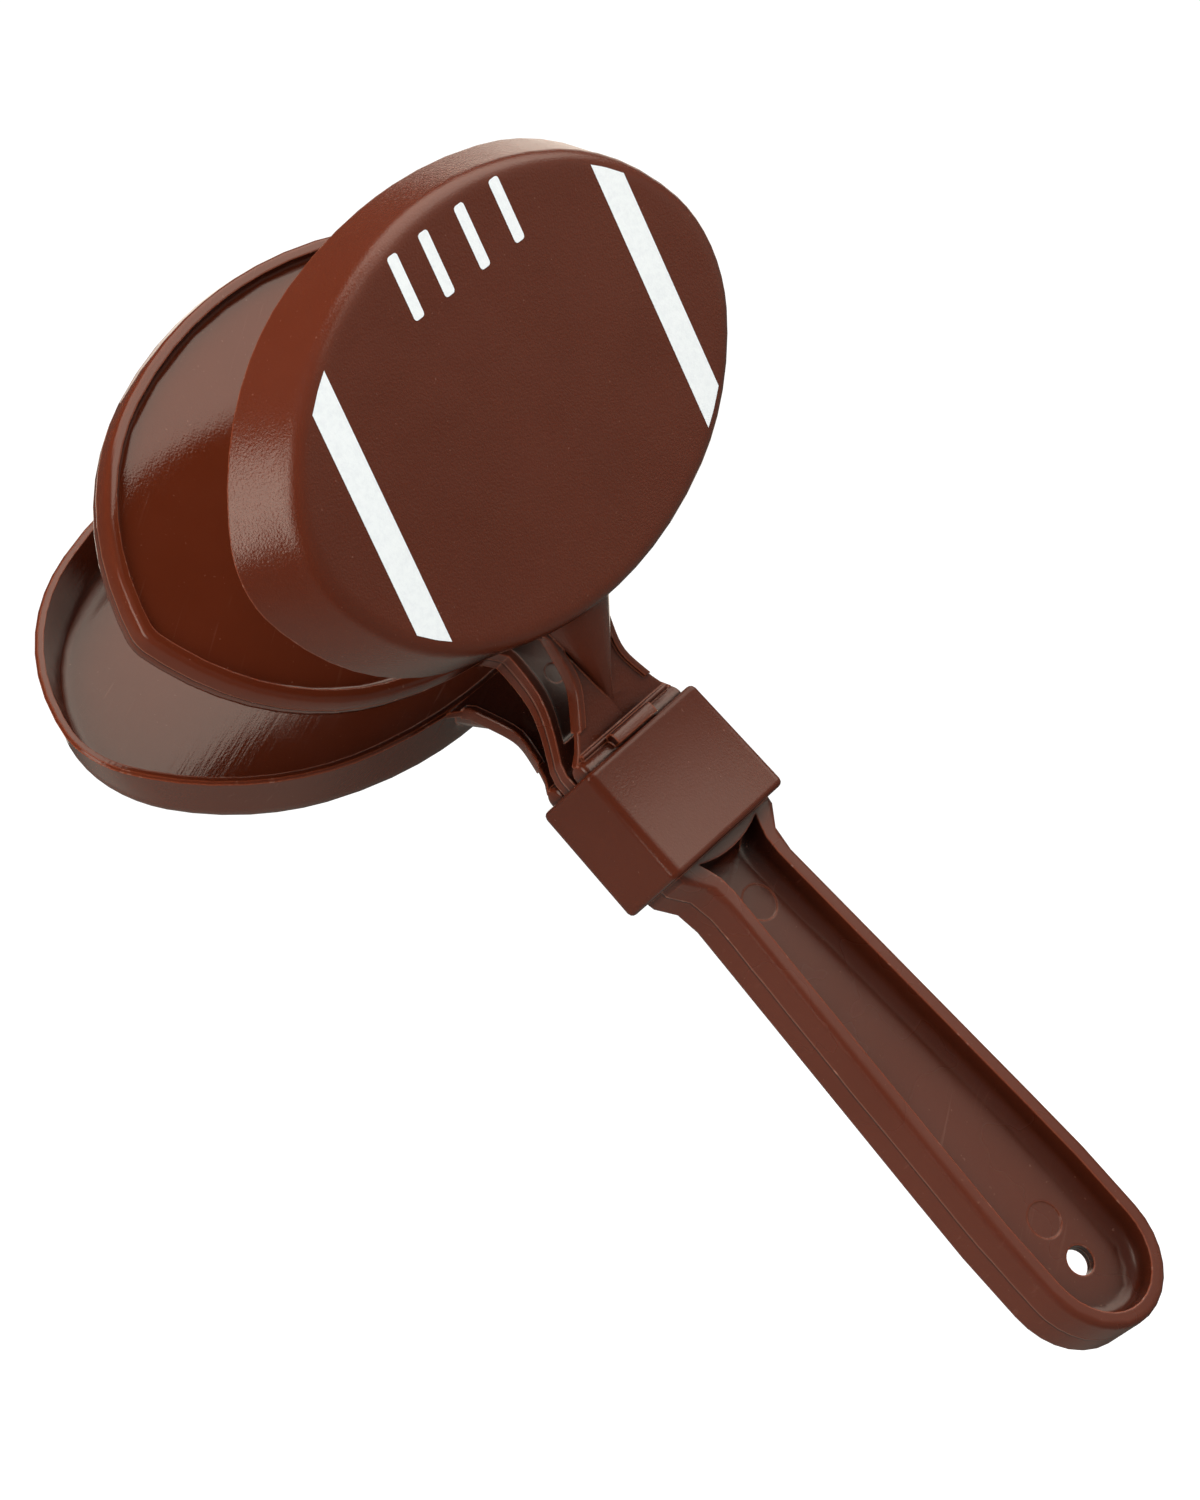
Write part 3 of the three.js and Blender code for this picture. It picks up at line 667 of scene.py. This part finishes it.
stripe_inner, stripe_outer = 0.0322, 0.0377
lace_places = (-0.0114, -0.0041, 0.0045, 0.0129)
lace_low, lace_high, lace_width = 0.0203, 0.031, 0.0022
prints = [
    printed_piece("stripe_left", stripe_corners(-stripe_outer, -stripe_inner)),
    printed_piece("stripe_right", stripe_corners(stripe_inner, stripe_outer)),
]
prints += [
    printed_piece(f"lace_{number}", lace_corners(place, lace_low, lace_high, lace_width))
    for number, place in enumerate(lace_places, 1)
]
print("printed", [piece.name for piece in prints])

# %% [markdown]
# ## White ink
#
# Pad printing ink is opaque, slightly uneven in thickness, and a little less glossy than the plastic. Its
# white is not perfectly even, so a fine mottle mixes two whites. In the photograph the ink looks a little
# brighter than these lamps make it. A very small, slightly bluish emission makes up for that: stronger lamps
# would brighten the brown as well.

# %% Ink material
ink = bpy.data.materials.new("white ink")
ink.use_nodes = True
ink_tree = ink.node_tree
ink_tree.nodes.clear()
ink_place = add(ink_tree, "ShaderNodeTexCoord").outputs["Object"]
ink_skin = add(ink_tree, "ShaderNodeGroup", {"node_tree": skin},
               Position=ink_place, Stipple=1.6, Waviness=0.6)
mottle = add(ink_tree, "ShaderNodeTexNoise", Vector=ink_place, Scale=900.0, Detail=3.0, Roughness=0.7)
full_white, thin_white = (0.84, 0.89, 0.90, 1.0), (0.78, 0.83, 0.85, 1.0)
glow_tint, glow_strength = (0.80, 0.92, 1.0, 1.0), 0.06
mottle_range, ink_roughness = (0.35, 0.75), (0.38, 0.5)
thinning = ramp(ink_tree, mottle.outputs["Fac"], *mottle_range)
ink_colour = blend_colour(ink_tree, thinning, full_white, thin_white)
ink_rough = ramp(ink_tree, ink_skin.outputs["Cloud"], *cloud_range, *ink_roughness)
ink_relief = add(ink_tree, "ShaderNodeBump", Height=ink_skin.outputs["Height"], Distance=0.001, Strength=0.8)
ink_glow = blend_colour(ink_tree, 1.0, glow_tint, ink_colour, "MULTIPLY")
ink_shader = add(ink_tree, "ShaderNodeBsdfPrincipled", Base_Color=ink_colour, Roughness=ink_rough,
                 Normal=ink_relief.outputs["Normal"], Emission_Color=ink_glow)
ink_shader.inputs["Emission Strength"].default_value = glow_strength
ink_target = add(ink_tree, "ShaderNodeOutputMaterial")
ink_tree.links.new(ink_shader.outputs["BSDF"], ink_target.inputs["Surface"])
for piece in prints:
    piece.data.materials.append(ink)
print("ink on", len(prints), "pieces")

# %% [markdown]
# ## Camera
#
# The photograph was taken from a little under a metre with a long lens, from the clapper's left, nearly
# level with the collar, and turned so that the grip runs down to the right. The camera's three axes are
# worked out from those angles. The place was found by matching the outlines of all four mouldings.

# %% Camera at the photograph's angle
def camera_axes(azimuth, elevation, roll):
    level_share = math.cos(elevation)
    ahead = Vector((math.sin(azimuth) * level_share, math.cos(azimuth) * level_share, math.sin(elevation)))
    level = Vector((math.cos(azimuth), -math.sin(azimuth), 0.0))
    above = level.cross(ahead)
    right = level * math.cos(roll) + above * math.sin(roll)
    up = above * math.cos(roll) - level * math.sin(roll)
    return right, up, ahead


azimuth, elevation, roll = (math.radians(v) for v in (36.75, 0.868, -41.843))
right, up, ahead = camera_axes(azimuth, elevation, roll)
lens_place = Vector((-0.540307, -0.720066, 0.058952))
camera_data = bpy.data.cameras.new("camera")
camera_data.sensor_width = 36.0
camera_data.lens = 138.413
camera_data.clip_start, camera_data.clip_end = 0.05, 20.0
camera = bpy.data.objects.new("camera", camera_data)
facing = Matrix((right, up, -ahead)).transposed().to_4x4()
camera.matrix_world = Matrix.Translation(lens_place) @ facing
bpy.context.scene.collection.objects.link(camera)
bpy.context.scene.camera = camera
print("camera", [round(v, 3) for v in lens_place], "right", [round(v, 3) for v in right])

# %% [markdown]
# ## Floor
#
# The picture is a product shot on white. A pale floor lies well below the grip, as if the clapper was held
# over it. The plastic must mirror something dark to look deep brown, so the floor is seen by the camera but
# keeps out of reflections, and it sends no light up to the clapper. Its own faint glow keeps it white.

# %% Pale floor
floor_level, floor_reach, floor_glow = -0.35, 8, 0.6
floor_mesh = bpy.data.meshes.new("floor")
floor_corners = [(x * floor_reach, y * floor_reach, 0) for x, y in ((-1, -1), (1, -1), (1, 1), (-1, 1))]
floor_mesh.from_pydata(floor_corners, [], [(0, 1, 2, 3)])
floor = bpy.data.objects.new("floor", floor_mesh)
floor.location.z = floor_level
bpy.context.scene.collection.objects.link(floor)
floor.visible_glossy = False
floor.visible_diffuse = False
pale = bpy.data.materials.new("pale floor")
pale.use_nodes = True
pale_shader = pale.node_tree.nodes["Principled BSDF"]
pale_shader.inputs["Base Color"].default_value = (0.9, 0.9, 0.9, 1.0)
pale_shader.inputs["Roughness"].default_value = 0.9
pale_shader.inputs["Emission Color"].default_value = (1.0, 1.0, 1.0, 1.0)
pale_shader.inputs["Emission Strength"].default_value = floor_glow
floor_mesh.materials.append(pale)
print("floor at", floor.location.z)

# %% [markdown]
# ## Sky
#
# The sky does three jobs, and the Light Path node tells which one a ray asks for. The camera sees plain
# white, so no horizon shows. A matt surface gets an even white light. A reflection sees a dim, warm studio
# that is a little brighter to the right, below and at the upper right. Each `toward` gives the direction of
# such a glow, the two cosines between which it grows, and its strength before and after. One even dome of
# light would show the shapes as well, but every surface would look equally dull.

# %% A direction as the camera sees it
def from_camera(rightward, upward, nearer):
    return (right * rightward + up * upward - ahead * nearer).normalized()


print("straight up for the camera is", [round(v, 2) for v in from_camera(0.0, 1.0, 0.0)])

# %% Three kinds of sky
warm_light = (1.0, 0.87, 0.74)
seen_white, even_light = 1.1, 0.68
sky = bpy.data.worlds.new("sky")
sky.use_nodes = True
sky_tree = sky.node_tree
sky_tree.nodes.clear()
ray = add(sky_tree, "ShaderNodeLightPath")
gaze = add(sky_tree, "ShaderNodeTexCoord").outputs["Generated"]


def toward(direction, low, high, to_low, to_high):
    facing_it = add(sky_tree, "ShaderNodeVectorMath", {"operation": "DOT_PRODUCT"}, i0=gaze, i1=direction)
    return ramp(sky_tree, facing_it.outputs["Value"], low, high, to_low, to_high)


from_right = toward(right, -0.2, 0.9, 0.10, 0.22)
from_below = toward(from_camera(-0.45, -0.75, -0.45), 0.55, 0.85, 0.0, 0.24)
upper_right = calc(sky_tree, "MULTIPLY", toward(right, 0.8, 0.98, 0.0, 1.0), toward(up, 0.04, 0.2, 0.0, 0.32))
glow = calc(sky_tree, "ADD", calc(sky_tree, "ADD", from_right, from_below), upper_right)
white = add(sky_tree, "ShaderNodeBackground", Color=(1, 1, 1, 1), Strength=seen_white)
even = add(sky_tree, "ShaderNodeBackground", Color=(1, 1, 1, 1), Strength=even_light)
mirrored_sky = add(sky_tree, "ShaderNodeBackground", Color=warm_light + (1.0,), Strength=glow)
unseen = add(sky_tree, "ShaderNodeMixShader",
             i0=ray.outputs["Is Glossy Ray"], i1=even.outputs[0], i2=mirrored_sky.outputs[0])
seen = add(sky_tree, "ShaderNodeMixShader",
           i0=ray.outputs["Is Camera Ray"], i1=unseen.outputs[0], i2=white.outputs[0])
sky_target = add(sky_tree, "ShaderNodeOutputWorld", Surface=seen.outputs[0])
bpy.context.scene.world = sky
print("sky gives", even_light, "to matt surfaces")

# %% [markdown]
# ## Soft boxes
#
# Glossy plastic shows the studio in its sheen, so each soft box was placed by working out what each surface
# mirrors. The big box overhead is the grey sheen on the centre paddle and in the rear dish, the tall box on
# the left is the bright patch on the front paddle's wall, and small boxes on the right catch the collar. Two
# fills only brighten the body colour and are not mirrored: the upper one is near, so the printed face grows
# darker away from it. Each row says how far the light lies to the right, above and nearer as the camera
# sees it, its distance and size in metres, and its brightness.

# %% A soft box that faces the clapper
clapper_middle = Vector((0, 0, 0.09))


def soft_box(name, direction, distance, size, brightness, mirrored):
    lamp = bpy.data.lights.new(name, "AREA")
    lamp.color = warm_light if mirrored else (1.0, 1.0, 1.0)
    lamp.shape = "RECTANGLE"
    lamp.size, lamp.size_y = size
    lamp.energy = brightness * math.pi * size[0] * size[1]
    holder = bpy.data.objects.new(name, lamp)
    across = (right - direction * right.dot(direction)).normalized()
    along = direction.cross(across)
    turn = Matrix((across, along, direction)).transposed().to_4x4()
    holder.matrix_world = Matrix.Translation(clapper_middle + direction * distance) @ turn
    bpy.context.scene.collection.objects.link(holder)
    holder.visible_camera = False
    holder.visible_glossy = mirrored
    return holder


print("soft boxes face", [round(v, 3) for v in clapper_middle])

# %% The lights of the studio
lights = [
    soft_box(name, from_camera(*towards), distance, size, brightness, mirrored)
    for name, towards, distance, size, brightness, mirrored in [
        ("top box", (0.28, 0.95, 0.05), 1.2, (1.5, 1.1), 2.45, True),
        ("catch light", (0.50, 0.58, 0.55), 1.2, (0.32, 0.32), 1.7, True),
        ("right box", (0.82, 0.52, 0.25), 1.2, (0.35, 0.6), 0.5, True),
        ("left box", (-0.77, -0.10, 0.59), 1.0, (0.35, 0.9), 4.0, True),
        ("back box", (0.0, 0.3, -0.9), 1.2, (0.9, 0.9), 1.2, True),
        ("upper fill", (-0.35, 0.62, 0.70), 0.5, (0.4, 0.4), 2.7, False),
        ("low left fill", (-0.4, -0.6, 0.6), 1.2, (0.6, 0.6), 1.7, False),
    ]
]
view = bpy.context.scene.view_settings
view.view_transform = "Standard"
view.look = "None"
print("lights", [light.name for light in lights])
